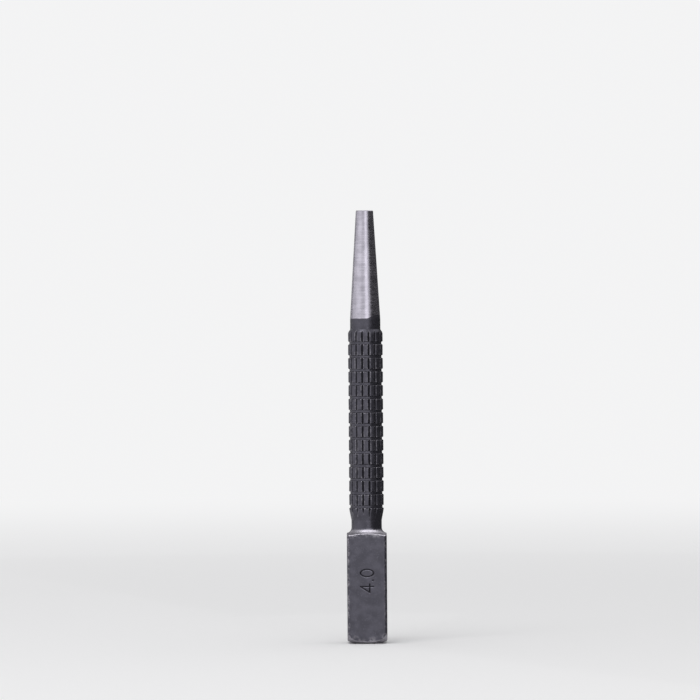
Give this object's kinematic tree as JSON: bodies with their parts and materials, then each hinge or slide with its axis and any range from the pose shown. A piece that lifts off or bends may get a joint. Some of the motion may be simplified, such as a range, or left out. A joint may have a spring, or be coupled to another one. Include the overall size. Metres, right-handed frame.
{
  "type": "nail setter",
  "caption": "Solid steel nail setter with a square striking head, a black knurled grip of small pads and a bare tapered tip with a cupped end.",
  "frame": {"origin": "centre of the striking face, on which the tool stands", "axes": "+Z along the tool's axis from the striking face to the tip, -Y out of the front flat of the square head"},
  "size_m": [0.0092, 0.0092, 0.1],
  "materials": {
    "black_steel": "satin black over steel",
    "bare_steel": "ground, with fine lines round the taper"
  },
  "bodies": {
    "root": {"square_head": "black_steel", "neck": "black_steel", "knurled_grip": "black_steel", "front_collar": "black_steel", "tapered_tip": "bare_steel"}
  },
  "joints": []
}
